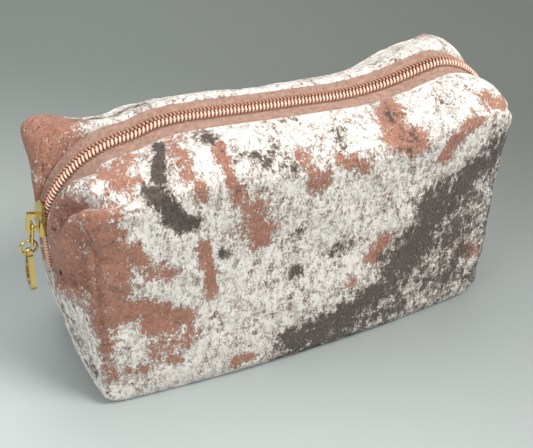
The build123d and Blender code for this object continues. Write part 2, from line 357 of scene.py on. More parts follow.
def tape_material():
    """The zip's woven tape, with a herringbone of slanted ribs all across it."""
    material, tree, shader = new_material("zip_tape")
    along = stored(tree, "along")
    across = stored(tree, "across")
    zigzag = math_node(tree, "PINGPONG", across, 1.3)
    slant = math_node(tree, "MULTIPLY_ADD", zigzag, 1.0, along)
    ribs = math_node(tree, "SINE", math_node(tree, "MULTIPLY", slant, 2.0 * math.pi / 0.75))
    place = stored(tree, "rest", vector=True)
    wear = noise(tree, place, 0.6, 4.0)
    shade = math_node(tree, "MULTIPLY_ADD", ribs, 0.22, wear)
    colour = blend_colours(tree, step(tree, shade, 0.25, 0.8), (0.20, 0.105, 0.075), (0.47, 0.29, 0.22))
    connect(tree, shader.inputs["Base Color"], colour)
    shader.inputs["Roughness"].default_value = 0.75
    shader.inputs["Sheen Weight"].default_value = 0.1
    connect(tree, shader.inputs["Normal"], bump(tree, ribs, 0.5, 0.0003))
    return material


def plain_material(name, colour, roughness, metallic=0.0):
    """A material of one colour with a little grain."""
    material, tree, shader = new_material(name)
    place = add_node(tree, "ShaderNodeTexCoord", output=3)
    grain = add_node(tree, "ShaderNodeTexNoise", {"Vector": place, "Scale": 900.0, "Detail": 2.0})
    darker = tuple(0.85 * value for value in colour)
    connect(tree, shader.inputs["Base Color"], blend_colours(tree, grain, darker, colour))
    shader.inputs["Roughness"].default_value = roughness
    shader.inputs["Metallic"].default_value = metallic
    return material


def lining_material():
    """A fine plain-woven cotton."""
    material, tree, shader = new_material("lining")
    place = stored(tree, "rest", vector=True)
    weave = noise(tree, place, 2.5, 2.0)
    colour = blend_colours(tree, weave, (0.50, 0.34, 0.29), (0.66, 0.50, 0.44))
    connect(tree, shader.inputs["Base Color"], colour)
    shader.inputs["Roughness"].default_value = 0.9
    connect(tree, shader.inputs["Normal"], bump(tree, weave, 0.3, 0.0002))
    return material


VELVET = velvet_material()
TAPE = tape_material()
LINING = lining_material()
PADDING = plain_material("padding", (0.75, 0.74, 0.71), 0.95)
# COIL and COIL_SHADED are lit and shaded copies of one coil colour; the darker back copy is painted shade.
COIL = plain_material("zip_coil", (0.86, 0.56, 0.43), 0.36, metallic=0.35)
COIL_SHADED = plain_material("zip_coil_back", (0.46, 0.235, 0.155), 0.42, metallic=0.2)
CORD = plain_material("core_cord", (0.42, 0.20, 0.13), 0.8)
THREAD = plain_material("thread", (0.50, 0.30, 0.23), 0.7)
# STITCH and STITCH_SHADED are lit and shaded copies of the stitch thread's colour; the dark front copy is
# painted shade in the gaps between the coil's turns.
STITCH = plain_material("coil_stitch", (0.84, 0.72, 0.63), 0.5)
STITCH_SHADED = plain_material("coil_stitch_front_painted_shade", (0.36, 0.18, 0.12), 0.5)
GOLD = plain_material("gold_metal", (0.76, 0.58, 0.21), 0.11, metallic=1.0)
STEEL = plain_material("spring_steel", (0.55, 0.54, 0.52), 0.3, metallic=1.0)


# ---------------------------------------------------------------- the bag's cloth

LOW_STEPS = 34
HIGH_STEPS = 52
LONG_STEPS = 150
SIDE_STEPS = LOW_STEPS + HIGH_STEPS
INNER_ROWS = 7
OUTER_ROWS = 22
EDGE_ROWS = 7
ARC_POINTS = 17
# Where the ears and the right end seam fall, counted round one loop from the left foot corner.
LEFT_EAR = SIDE_STEPS
RIGHT_EAR = SIDE_STEPS + LONG_STEPS
RIGHT_SEAM = RIGHT_EAR + HIGH_STEPS
LOOP_STEPS = 2 * SIDE_STEPS + 2 * LONG_STEPS
# How fast the top corners tighten towards the broad face, left and right, for the front and the back.
CORNER_POWERS = {-1: (1.0, 1.0), 1: (0.45, 0.6)}
BELLY = 2.4
BELLY_MIDDLE = 50.0
BELLY_REACH = 52.0


def side_rail(half, top, low_radius, high_radius, base):
    """The right half of a rounded rectangle, from the middle of its foot to the middle of its top."""
    turn = np.linspace(0.0, math.pi / 2.0, ARC_POINTS)
    low_x = half - low_radius + low_radius * np.sin(turn)
    low_z = base + low_radius - low_radius * np.cos(turn)
    high_x = half - high_radius + high_radius * np.cos(turn)
    high_z = top - high_radius + high_radius * np.sin(turn)
    xs = np.concatenate([[0.0], low_x, high_x, [0.0]])
    zs = np.concatenate([[base], low_z, high_z, [top]])
    return np.stack([xs, zs], axis=1)


def along_rail(rail, places):
    """Points on a rail at these lengths along it."""
    lengths = lengths_along(rail)
    return np.stack([np.interp(places, lengths, rail[:, k]) for k in range(2)], axis=1)


def rail_marks(rail, seam):
    """The lengths along a rail at the foot corner's middle, the end seam and the top corner's middle."""
    lengths = lengths_along(rail)
    low_end = ARC_POINTS
    high_end = 2 * ARC_POINTS
    foot = 0.5 * (lengths[1] + lengths[low_end])
    ear = 0.5 * (lengths[low_end + 1] + lengths[high_end])
    side = np.interp(seam, rail[low_end:high_end + 1, 1], lengths[low_end:high_end + 1])
    return foot, side, ear, lengths[-1]


def corner_radii(spread, side):
    """The radii of the top corners, left and right, at a share of the way from the zip to the face."""
    left_power, right_power = CORNER_POWERS[side]
    left = TRACK_R - (TRACK_R - CORNER_R) * spread ** left_power
    right = FAR_R - (FAR_R - CORNER_R) * spread ** right_power
    return left, right


def outline(depth, inset, side):
    """One closed loop round the bag, seen from the side: left end, top, right end and foot."""
    spread = np.clip((depth - ZIP_OPENING) / (HALF_DEPTH - EDGE - ZIP_OPENING), 0.0, 1.0)
    half = BAND_HALF - (BAND_HALF - CORNER_HALF) * spread ** 2 - inset
    top = BAND_TOP - (BAND_TOP - CORNER_TOP) * spread ** 2 - inset
    low_radius = max(FOOT_R - FOOT_R_LOSS * spread - inset, LEAST_R)
    seam = SEAM_Z + SEAM_CLIMB * spread ** 1.5
    halves = []
    for high_radius in corner_radii(spread, side):
        rail = side_rail(half, top, low_radius, max(high_radius - inset, LEAST_R), inset)
        foot, seam_place, ear, end = rail_marks(rail, seam)
        halves.append({
            "under": along_rail(rail, np.linspace(0.0, foot, LONG_STEPS // 2 + 1)),
            "low": along_rail(rail, np.linspace(foot, seam_place, LOW_STEPS + 1)),
            "high": along_rail(rail, np.linspace(seam_place, ear, HIGH_STEPS + 1)),
            "over": along_rail(rail, np.linspace(ear, end, LONG_STEPS // 2 + 1)),
        })
    left, right = halves
    climb = [left[part][:-1] * np.array([-1.0, 1.0]) for part in ("low", "high", "over")]
    fall = [right[part][::-1][:-1] for part in ("over", "high", "low", "under")]
    foot = left["under"][:-1] * np.array([-1.0, 1.0])
    return slimmer_foot(np.concatenate([*climb, *fall, foot]), half)


def slimmer_foot(loop, half):
    """The ends draw in towards the base."""
    share = max(half - CORNER_HALF, 0.0) / BAND_HALF
    low = np.clip((SEAM_Z - loop[:, 1]) / SEAM_Z, 0.0, 1.0) ** 2
    out = (np.abs(loop[:, 0]) / half) ** 4
    loop = loop.copy()
    loop[:, 0] *= 1.0 - share * low * out
    return loop


def face_grid(loop):
    """The broad face inside a loop, as a grid from foot to top and left to right."""
    side, long = SIDE_STEPS, LONG_STEPS
    left = loop[: side + 1]
    top = loop[side: side + long + 1]
    right = loop[side + long: 2 * side + long + 1][::-1]
    foot = np.concatenate([loop[2 * side + long:], loop[:1]])[::-1]
    u = np.linspace(0.0, 1.0, long + 1)[None, :, None]
    v = np.linspace(0.0, 1.0, side + 1)[:, None, None]
    ruled = (1 - u) * left[:, None] + u * right[:, None] + (1 - v) * foot[None] + v * top[None]
    corners = (1 - u) * (1 - v) * loop[0] + u * (1 - v) * right[0]
    corners = corners + (1 - u) * v * left[-1] + u * v * right[-1]
    return ruled - corners


def row_depths(inset):
    """The depth and extra inset of each row, from the middle of the bag out to the broad face."""
    depth = HALF_DEPTH - inset
    edge = max(EDGE - inset, LEAST_EDGE)
    inner = np.linspace(0.0, ZIP_OPENING, INNER_ROWS + 1)[:-1]
    outer = np.linspace(ZIP_OPENING, depth - edge, OUTER_ROWS + 1)
    turn = np.linspace(0.0, math.pi / 2.0, EDGE_ROWS + 1)[1:]
    depths = np.concatenate([inner, outer, depth - edge + edge * np.sin(turn)])
    insets = np.concatenate([0 * inner, 0 * outer, edge * (1.0 - np.cos(turn))])
    return depths, insets


def half_surface(inset, side):
    """The points of half a bag at a depth under its face: rows of loops, then the broad face."""
    depths, extra = row_depths(inset)
    loops = []
    for depth, more in zip(depths, extra):
        loop = outline(min(depth, HALF_DEPTH - EDGE), inset + more, side)
        loops.append(np.stack([loop[:, 0], np.full(len(loop), depth), loop[:, 1]], axis=1))
    last = loops[-1]
    face = face_grid(last[:, [0, 2]])
    belly = face_belly(face)
    face = np.stack([face[..., 0], depths[-1] + belly, face[..., 1]], axis=-1)
    return np.concatenate(loops), face


def face_belly(face):
    """How far the stuffed broad face swells, in its middle."""
    x, z = face[..., 0], face[..., 1]
    across = np.clip(1.0 - (x / CORNER_HALF) ** 2, 0.0, 1.0)
    up = np.clip(1.0 - ((z - BELLY_MIDDLE) / BELLY_REACH) ** 2, 0.0, 1.0)
    return BELLY * np.sqrt(across * up)


def half_faces():
    """The quads of half a bag: rings of the loops, cut out for the zip, and the broad face."""
    columns = LOOP_STEPS
    rows = INNER_ROWS + OUTER_ROWS + 1 + EDGE_ROWS
    faces = []
    for row in range(rows - 1):
        for column in range(columns):
            above_seam = LOW_STEPS <= column < RIGHT_SEAM
            if row < INNER_ROWS and above_seam:
                continue
            after = (column + 1) % columns
            here = row * columns
            faces.append((here + column, here + columns + column, here + columns + after, here + after))
    face_start = rows * columns
    border = border_numbers(columns, rows)
    long = LONG_STEPS + 1
    numbers = face_start + np.arange((SIDE_STEPS + 1) * long).reshape(SIDE_STEPS + 1, long)
    numbers[:, 0] = border["left"]
    numbers[-1, :] = border["top"]
    numbers[:, -1] = border["right"]
    numbers[0, :] = border["foot"]
    quads = np.stack([numbers[:-1, :-1], numbers[:-1, 1:], numbers[1:, 1:], numbers[1:, :-1]], axis=-1)
    return np.concatenate([np.array(faces), quads.reshape(-1, 4)])


def border_numbers(columns, rows):
    """The point numbers of the last loop, as the four sides of the broad face."""
    last = (rows - 1) * columns + np.arange(columns + 1) % columns
    side, long = SIDE_STEPS, LONG_STEPS
    return {
        "left": last[: side + 1],
        "top": last[side: side + long + 1],
        "right": last[side + long: 2 * side + long + 1][::-1],
        "foot": last[2 * side + long:][::-1],
    }


def point_normals(points, faces):
    """Smooth outward directions at the points of a mesh of quads."""
    corners = points[faces]
    face_normals = np.cross(corners[:, 2] - corners[:, 0], corners[:, 3] - corners[:, 1])
    normals = np.zeros_like(points)
    for k in range(4):
        np.add.at(normals, faces[:, k], face_normals)
    lengths = np.linalg.norm(normals, axis=1, keepdims=True)
    return normals / np.maximum(lengths, 1e-9)


# How far the top rises or sags (z) at places along the bag (x), away from the slider's run.
TOP_WAVE = [(-61, 0.0), (-51, 3.0), (-42, 3.3), (-26, 1.8), (-10, 0.0), (7, -1.5), (24, -3.3), (33, -3.5)]
TOP_WAVE += [(42, -3.0), (51, -1.6), (60, 0.7), (69, 2.2), (79, 1.2), (90, 0.0)]
WAVE_SMOOTHING = 9
BACK_SAG = 6.5
FOOT_BOW = 5.0
# How far the cloth beside the left arc of the zip draws in, for the front and for the back.
HEM_DRAW = {-1: 3.9, 1: 2.4}
HEM_DRAW_END = 24.0


def zip_wave(points):
    """How far the top of the bag rises and sags at each point."""
    xs = np.arange(-100.0, 101.0)
    heights = np.interp(xs, *np.array(TOP_WAVE, float).T)
    window = np.hanning(WAVE_SMOOTHING + 2)[1:-1]
    heights = np.convolve(heights, window / window.sum(), mode="same")
    return np.interp(points[:, 0], xs, heights) * smooth(64.0, 96.0, points[:, 2])


def soft_shape(points, side):
    """How the stuffed bag strays from its plain form: a sagging back, a bowed foot and a closer hem."""
    x, depth, z = points.T
    moved = np.zeros_like(points)
    moved[:, 2] += zip_wave(points)
    middle = np.clip(1.0 - (x / 82.0) ** 2, 0.0, 1.0) ** 0.6
    out = smooth(ZIP_OPENING + 1.0, HALF_DEPTH, depth)
    high = smooth(60.0, 100.0, z)
    if side > 0:
        moved[:, 2] -= BACK_SAG * out ** 0.7 * middle * high
    bow = np.clip(1.0 - (x / 92.0) ** 2, 0.0, 1.0) * (1.0 - smooth(0.0, 70.0, z))
    moved[:, 1] += FOOT_BOW * bow * smooth(6.0, HALF_DEPTH, depth)
    near_hem = (1.0 - smooth(ZIP_OPENING, HEM_DRAW_END, depth)) * (x < 0)
    rising = smooth(SEAM_Z, SEAM_Z + 10.0, z) * (1.0 - smooth(82.0, 105.0, z))
    moved[:, 1] -= HEM_DRAW[side] * near_hem * rising
    return moved


EAR_REACH = 9.0
# The push at each top corner (x, depth, z), for the front and for the back.
EAR_PUSH = {
    -1: [((-88.0, 32.0, 100.0), (-1.4, 1.1, 2.6)), ((88.0, 32.0, 100.0), (1.4, 1.1, 2.6))],
    1: [((-90.0, 27.0, 98.0), (-5.4, 1.2, 5.2)), ((88.0, 32.0, 100.0), (1.4, 1.1, 2.6))],
}


def ear_push(points, side):
    """The pull that leaves a small pointed ear at each top corner."""
    pushed = np.zeros_like(points)
    for ear, push in EAR_PUSH[side]:
        near = np.exp(-(np.linalg.norm(points - np.array(ear), axis=1) / EAR_REACH) ** 2)
        pushed += near[:, None] * np.array(push)
    return pushed


def mirrored(line):
    """The same line at the other end of the bag."""
    return [(-x, depth, z) for x, depth, z in line]


# Ridges (+) and creases (-): the line's places (x, depth, z), its width and its height.
EAR_GROOVE = [(-94, 17, 80), (-91, 17, 87), (-88, 19, 92.5), (-85, 23, 97.5)]
EAR_GROOVE += [(-82, 26, 100.5), (-77, 29.5, 100.5)]
ZIP_ROLL = [(-94, 11, 78), (-91, 12, 87), (-86, 15, 94), (-80, 19, 100.5), (-74, 23, 103)]
CORNER_SEAM = [(-88, 30, 97), (-87, 31.5, 91), (-85.5, 32, 86), (-85, 32, 75)]
CORNER_SEAM += [(-86, 32, 68), (-86, 32, 46), (-87, 31, 12)]
SEAM_SHADOW = [(-88, 29.6, 89), (-88, 29, 83), (-89, 27.7, 75), (-89, 28.3, 70), (-88, 30, 63.5)]
END_SEAM = [(-96.5, 9.5, 56), (-96.4, 12, 59), (-94.4, 18, 61.5)]
END_SEAM += [(-91.2, 24.6, 64.8), (-88.7, 28, 63.5), (-86.8, 31.3, 60.6)]
EAR_BULGE = [(-91, 23, 88), (-92, 23, 80), (-92, 22, 72), (-91, 24, 66)]
END_PUFF = [(-96.5, 11, 53), (-94.5, 19, 57), (-90, 27, 59)]
RIGHT_CORNER_SEAM = [(86, 31, 92), (86, 32, 60), (87, 31, 12)]
RIGHT_END_SEAM = [(96.5, 9.5, 56), (94.4, 18, 61.5), (88.7, 28, 63.5), (86.8, 31.3, 61)]
FRONT_STROKES = [
    (EAR_GROOVE, 2.2, -5.6),
    (ZIP_ROLL, 3.8, 3.2),
    (CORNER_SEAM, 1.2, -1.2),
    (SEAM_SHADOW, 1.8, -1.1),
    (EAR_BULGE, 4.5, 3.0),
    (END_SEAM, 1.3, -2.2),
    (END_PUFF, 3.2, 1.6),
    ([(-88, 29, 91), (-88, 28.5, 87)], 1.7, -1.2),
    ([(-84.6, 32, 81), (-82, 32.5, 77.5), (-80, 33, 74)], 1.1, -0.8),
    ([(-84.4, 32.6, 66.6), (-80.7, 33, 63.4), (-77, 33.4, 61.7)], 1.0, -0.7),
    ([(-87, 30, 99), (-83, 31.5, 98)], 0.7, -0.6),
    ([(-87, 31, 97), (-83, 32, 95)], 0.7, -0.6),
    ([(-87, 31.5, 95), (-83.5, 32.5, 92)], 0.7, -0.5),
    ([(-4, 12.4, 106), (14, 12.6, 105), (30, 12.4, 104), (42, 12, 105)], 0.8, -0.9),
    (RIGHT_CORNER_SEAM, 1.0, -0.9),
    ([(90, 20, 84), (88, 24, 92), (84, 28, 98)], 2.0, -1.0),
    (RIGHT_END_SEAM, 1.1, -1.3),
]
BACK_STROKES = [
    ([(-82, 28, 100), (-71, 22.5, 104), (-65, 16.5, 105), (-58, 12.4, 106)], 1.3, -1.5),
    ([(-88, 22, 90), (-92, 16, 80), (-94, 12, 72)], 2.4, -0.9),
    (mirrored(RIGHT_CORNER_SEAM), 1.0, -1.0),
    (RIGHT_CORNER_SEAM, 1.0, -1.0),
    (mirrored(RIGHT_END_SEAM), 1.1, -1.4),
    (RIGHT_END_SEAM, 1.1, -1.4),
    ([(91, 20, 86), (88, 24, 94), (82, 28, 100)], 2.2, -1.2),
]
STROKES = {-1: FRONT_STROKES, 1: BACK_STROKES}
RELIEF_SEED = {-1: 11, 1: 47}
# The small unevenness of the stuffed cloth: each ripple's height and wavelength.
RIPPLES = ((0.40, 30.0), (0.20, 13.0), (0.10, 6.5))
HEM_WIDTH = 1.3
HEM_ROLL = 0.9
STANDING_HEIGHT = 4.0


def relief(points, strokes, seed):
    """How far each point of the cloth stands out from the plain shape."""
    height = np.zeros(len(points))
    for more, (amount, wavelength) in enumerate(RIPPLES):
        height += amount * ripples(points, wavelength, seed + more)
    for line, width, amount in strokes:
        height += stroke(points, line, width, amount)
    hem = np.clip(1.0 - (np.abs(points[:, 1]) - ZIP_OPENING) / HEM_WIDTH, 0.0, 1.0)
    beside_zip = smooth(SEAM_Z - 1.0, SEAM_Z + 3.0, points[:, 2]) * (points[:, 1] > ZIP_OPENING - 0.1)
    calm = 1.0 - 0.8 * smooth(ZIP_OPENING + 7.0, ZIP_OPENING + 1.0, points[:, 1]) * beside_zip
    roll = HEM_ROLL * (1.0 - np.sqrt(1.0 - hem ** 2)) * beside_zip
    standing = np.clip(points[:, 2] / STANDING_HEIGHT, 0.0, 1.0)
    return (height * calm - roll) * standing


def cloth_layer(inset, side):
    """Half a bag's points at a depth under the velvet's face, before any creases."""
    loops, face = half_surface(inset, side)
    return np.concatenate([loops, face.reshape(-1, 3)])


@lru_cache
def cloth_shape(side):
    """The shared quads of half a bag, and how its creases and its stuffing move each point."""
    base = cloth_layer(0.0, side)
    height = relief(base, STROKES[side], RELIEF_SEED[side])
    faces = half_faces()
    moved = ear_push(base, side) + soft_shape(base, side) - height[:, None] * point_normals(base, faces)
    return faces, moved


def half_layers(depths, side):
    """The points of the cloth at these depths under its face, and the shared quads."""
    faces, moved = cloth_shape(side)
    return [cloth_layer(depth, side) + moved for depth in depths], faces


def facing(points, side):
    """Depths measured from the middle become places at the front (side -1) or the back (side 1)."""
    return points * np.array([1.0, side, 1.0])


def cloth_piece(name, depths, side, material, fields=None):
    """One layer of half a bag, as a closed shell."""
    (outer, inner), faces = half_layers(depths, side)
    outer, faces, inner = compact(outer, faces, inner)
    if side > 0:
        faces = faces[:, ::-1]
    shell, rims = shell_faces(faces, len(outer))
    points = facing(np.concatenate([outer, inner]), side)
    values = fields(points) if fields else None
    return make_mesh(name, points, shell, material, values, rims)


# ---------------------------------------------------------------- colour patches and painted shade on the velvet

# Each patch: the places it runs through (x, y, z), how far it reaches, and how strong it is.
ROSE_PATCHES = [
    ([(-66, -13, 104), (-70, -16, 103)], 3.6, 0.9),
    ([(-84, -14, 91), (-79, -17, 99), (-73, -20, 102.5), (-70, -22, 103)], 4.6, 1.0),
    ([(-84, -32, 98), (-83, -33, 88), (-81, -33, 78), (-80, -33, 68), (-83, -33, 58)], 7.5, 1.0),
    ([(-90, -22, 90), (-93, -18, 76), (-94, -16, 65), (-90, -27, 70)], 12.0, 1.0),
    ([(-86, 26, 98), (-90, 20, 88), (-82, 20, 99), (-92, 14, 78), (-96, 8, 66)], 11.0, 1.1),
    ([(-49, -13, 108), (-48, -21, 107)], 3.6, 0.75),
    ([(-47, -27, 102), (-45, -32, 97)], 3.2, 0.7),
    ([(-34, -20, 109), (-33, -26, 105), (-33, -32, 100), (-32, -33, 92)], 2.2, 0.9),
    ([(-26, -34, 86), (-25, -34, 80), (-22, -34, 72)], 6.5, 0.75),
    ([(-45, -34, 74), (-44, -34, 66), (-43, -34, 55), (-42, -34, 50)], 2.6, 0.9),
    ([(-72, -33, 81), (-69, -34, 75), (-66, -34, 69), (-59, -34, 66)], 3.6, 0.75),
    ([(-85, -32, 50), (-79, -33, 52), (-71, -33, 51), (-62, -33, 47), (-54, -34, 40)], 5.0, 1.1),
    ([(-67, -34, 43), (-59, -34, 38)], 5.0, 1.1),
    ([(-54, -34, 40), (-50, -34, 32), (-56, -34, 28), (-63, -34, 31)], 4.2, 0.8),
    ([(-85, -32, 44), (-85, -33, 30), (-84, -33, 14)], 3.2, 0.6),
    ([(-77, -34, 19), (-70, -34, 18)], 2.4, 0.8),
    ([(-68, -34, 30), (-67, -35, 22)], 2.6, 0.8),
    ([(-61, -35, 22), (-57, -35, 19)], 2.6, 0.7),
    ([(-33, -37, 9), (-26, -37, 9)], 2.6, 0.8),
    ([(-5, -28, 101), (-3, -33, 96), (2, -34, 89.5), (5, -33, 91)], 3.4, 0.75),
    ([(11, -30, 97), (15, -32, 94)], 2.8, 0.75),
    ([(18, -33, 92), (22, -33, 90)], 2.8, 0.75),
    ([(40, -17, 102), (36, -23, 101), (37, -28, 99), (42, -30, 98)], 5.6, 1.0),
    ([(70, -31, 99), (64, -32, 97), (59, -34, 93), (56, -34, 86)], 3.2, 0.9),
    ([(77, -25, 102), (83, -28, 100)], 3.4, 1.0),
    ([(33, -34, 53), (27, -34, 45)], 3.4, 0.9),
    ([(72, -34, 33), (80, -34, 28)], 5.5, 0.75),
    ([(19, -34, 35)], 3.0, 0.75),
    ([(84, 27, 99)], 4.0, 1.0),
    ([(-40, 33, 80), (-30, 34, 62), (-34, 34, 48)], 7.0, 0.8),
    ([(20, 34, 88), (34, 34, 76), (37, 34, 66)], 6.0, 0.85),
    ([(62, 34, 42), (52, 34, 26)], 8.0, 0.75),
    ([(-80, 33, 40), (-70, 34, 24)], 7.0, 0.7),
    ([(0, 34, 52), (8, 34, 40)], 5.0, 0.7),
    ([(95, -9, 44), (93, -12, 26)], 7.0, 0.75),
    ([(95, 8, 34), (93, 16, 20)], 6.0, 0.65),
]
# Dark taupe patches of the crushed velvet; the ones marked below as painted shade darken the cloth where
# shadow falls.
DARK_AND_SHADE_PATCHES = [
    # Painted shade along the front hem beside the zip's left arc.
    ([(-94, -13, 78), (-92, -13, 86), (-88, -13, 92), (-80, -13, 98)], 2.2, 0.3),
    # Partly painted shade, partly the velvet's darker rose, over the big rose patch at the front top.
    ([(38, -19, 102), (40, -27, 99)], 5.0, 0.42),
    ([(-54, -13, 108), (-56, -19, 106), (-57, -24, 103)], 2.3, 1.1),
    ([(-61, -29, 100.5), (-58, -32.5, 95), (-54, -33, 89), (-51, -33, 86)], 3.7, 1.3),
    ([(-37, -15, 110), (-34, -18, 109)], 2.8, 0.6),
    ([(-26, -25, 104.5), (-17, -27, 102), (-8, -29, 100.5)], 5.0, 0.42),
    ([(-38, -34, 69.5), (-34, -34, 66)], 2.2, 0.7),
    ([(-9, -35, 49), (-4, -35, 49)], 2.6, 0.6),
    ([(8, -34, 54), (17, -34, 54.5)], 4.2, 0.6),
    ([(-6, -34, 70)], 3.0, 0.5),
    ([(14, -21, 100), (13, -28, 98)], 3.2, 0.6),
    ([(88, -30, 84), (78, -33, 77), (68, -34, 69), (58, -34, 62)], 9.0, 0.85),
    ([(58, -34, 62), (52, -34, 54), (47, -34, 43), (41, -35, 31)], 11.0, 0.98),
    ([(41, -35, 31), (28, -35, 21), (12, -36, 15), (-6, -36, 11)], 9.5, 0.9),
    # Partly the velvet's taupe, partly painted shade dimming the lower right of the front face.
    ([(72, -33, 60), (70, -34, 48), (66, -34, 34), (64, -34, 18)], 17.0, 0.58),
    # Painted shade along the front's foot, where the cloth rolls under.
    ([(40, -36, 12), (20, -36, 6), (-10, -36, 3)], 9.0, 0.7),
    # Painted shade down the right front corner, where the cloth turns away.
    ([(89, -28, 80), (89, -28, 45), (87, -28, 12)], 9.0, 0.7),
    # Painted shade on the lower left end, where the cloth faces down.
    ([(-96, -12, 42), (-93, -22, 32), (-91, -26, 18)], 6.0, 0.25),
    ([(-70, 22, 103), (-60, 22, 103), (-52, 15, 106)], 4.0, 0.6),
    ([(-70, 34, 62), (-52, 34, 46), (-30, 34, 30), (-8, 34, 22)], 8.5, 0.75),
    ([(-8, 34, 22), (12, 34, 14), (30, 34, 6)], 7.0, 0.6),
    ([(44, 34, 60), (62, 34, 72), (80, 33, 82)], 7.0, 0.65),
    ([(-20, 30, 96), (-6, 33, 90)], 5.0, 0.5),
    ([(95, 8, 62), (92, 20, 74)], 6.0, 0.6),
    ([(96, -8, 16), (92, -22, 8)], 6.0, 0.5),
]
PATCHES = [("rose", *patch) for patch in ROSE_PATCHES] + [("dark", *patch) for patch in DARK_AND_SHADE_PATCHES]
PATCH_FADE = 1.8


def patch_fields(points):
    """How rose and how dark the crushed velvet is at each point, before its ragged edges; the dark field
    also holds painted shade.
    """
    fields = {"rose": np.zeros(len(points)), "dark": np.zeros(len(points))}
    side = np.sign(points[:, 1].mean())
    for kind, line, reach, strength in PATCHES:
        if side * line[0][1] < 0:
            continue
        line = laid_on(points, line * 2 if len(line) == 1 else line)
        distance = line_distance(points, line)[0]
        near = strength * (1.0 - smooth(0.0, PATCH_FADE, distance / reach))
        fields[kind] = np.maximum(fields[kind], near)
    return fields


# ---------------------------------------------------------------- the zip

ARC_STEPS = 60


def track_table():
    """Lengths, places and outward angles all along the zip's line, from the left seam to the right one."""
    turn = np.linspace(0.0, math.pi / 2.0, ARC_STEPS)
    far_x = BAND_HALF - FAR_R
    far_z = BAND_TOP - FAR_R
    angles = np.concatenate([[math.pi], math.pi - turn, math.pi / 2.0 - turn, [0.0]])
    radii = np.repeat([TRACK_R, FAR_R], ARC_STEPS + 1)
    centre_x = np.repeat([-TRACK_X, far_x], ARC_STEPS + 1)
    centre_z = np.concatenate([[SEAM_Z], np.repeat([TRACK_Z, far_z], ARC_STEPS), [SEAM_Z]])
    xs = centre_x + radii * np.cos(angles)
    zs = centre_z + radii * np.sin(angles)
    lengths = np.concatenate([[0.0], np.cumsum(np.hypot(np.diff(xs), np.diff(zs)))])
    return lengths, xs, zs, angles


TRACK = track_table()
TRACK_LENGTH = TRACK[0][-1]


def track(length):
    """Places (x, z) on the zip's line and the outward directions there."""
    lengths, xs, zs, angles = TRACK
    angle = np.interp(length, lengths, angles)
    place = np.stack([np.interp(length, lengths, xs), np.interp(length, lengths, zs)], axis=-1)
    return place, np.stack([np.cos(angle), np.sin(angle)], axis=-1)


def on_track(length, across, height, side=-1):
    """Places in space: a length along the zip, a distance from its middle, a height over the velvet."""
    place, out = track(length)
    place = place + out * np.asarray(height)[..., None]
    points = np.stack([place[..., 0], np.asarray(across) + 0 * place[..., 0], place[..., 1]], axis=-1)
    flat = points.reshape(-1, 3)
    flat[:, 2] += soft_shape(flat, side)[:, 2]
    return flat.reshape(points.shape)


TAPE_END_GAP = 0.2
TAPE_START = 0.65
TAPE_STEPS = 420
RIDGE_ACROSS = 7.4
RIDGE_WIDTH = 0.8
RIDGE_HEIGHT = 0.9


def tape_piece(name, side):
    """One woven half of the zip's tape: slightly wavy, with a raised ridge along the back one."""
    lengths = np.linspace(TAPE_END_GAP, TRACK_LENGTH - TAPE_END_GAP, TAPE_STEPS)
    seen = np.linspace(TAPE_START, ZIP_OPENING, 18)
    covered = np.linspace(ZIP_OPENING + 0.6, TAPE_HALF, 5)
    across = np.concatenate([seen, covered])
    grid_length, grid_across = np.meshgrid(lengths, across, indexing="ij")
    wavy = 0.10 * np.sin(grid_length / 7.0 + 2.0 * side) * smooth(3.0, 7.0, grid_across)
    wavy *= 1.0 - smooth(7.5, ZIP_OPENING, grid_across)
    if side > 0:
        wavy += RIDGE_HEIGHT * np.exp(-(((grid_across - RIDGE_ACROSS) / RIDGE_WIDTH) ** 2))
    layers = []
    for depth in TAPE_DEPTH:
        layers.append(on_track(grid_length, grid_across, wavy - depth, side).reshape(-1, 3))
    faces = grid_faces(len(lengths), len(across))
    shell, rims = shell_faces(faces, len(layers[0]))
    points = facing(np.concatenate(layers), side)
    fields = {"along": np.tile(grid_length.ravel(), 2), "across": np.tile(grid_across.ravel(), 2)}
    if side > 0:
        shell = shell[:, ::-1]
    return make_mesh(name, points, shell, TAPE, fields, rims)


def ring_faces(rings, sides):
    """The quads between rings of points that close on themselves."""
    row = np.arange(rings - 1)[:, None] * sides
    corner = row + np.arange(sides)
    after = row + (np.arange(sides) + 1) % sides
    return np.stack([corner, after, after + sides, corner + sides], axis=-1).reshape(-1, 4)


def tube(line, hint, radius, sides):
    """A round wire that follows a line of points. hint is a direction away from its axis at each."""
    tangent = np.gradient(line, axis=0)
    tangent /= np.linalg.norm(tangent, axis=1, keepdims=True)
    first = np.cross(tangent, hint)
    first /= np.linalg.norm(first, axis=1, keepdims=True)
    second = np.cross(tangent, first)
    angle = (np.arange(sides) * 2.0 * math.pi / sides)[None, :, None]
    ring = np.cos(angle) * first[:, None] + np.sin(angle) * second[:, None]
    points = (line[:, None] + radius * ring).reshape(-1, 3)
    return points, ring_faces(len(line), sides)


COIL_INNER = 0.1
COIL_OUTER = 3.05
COIL_MIDDLE = 0.5 * (COIL_INNER + COIL_OUTER)
COIL_LIFT = -0.12
COIL_REACH = 1.2
COIL_RISE = 0.62
COIL_TILT = math.radians(24.0)
COIL_WIRE = 0.45
COIL_START = 0.4
TURN_STEPS = 12
CORD_R = 0.42
CORD_END_GAP = 0.6


def stagger(side):
    """The back spiral sits half a turn further along than the front one."""
    return 0.0 if side < 0 else 0.5 * COIL_PITCH


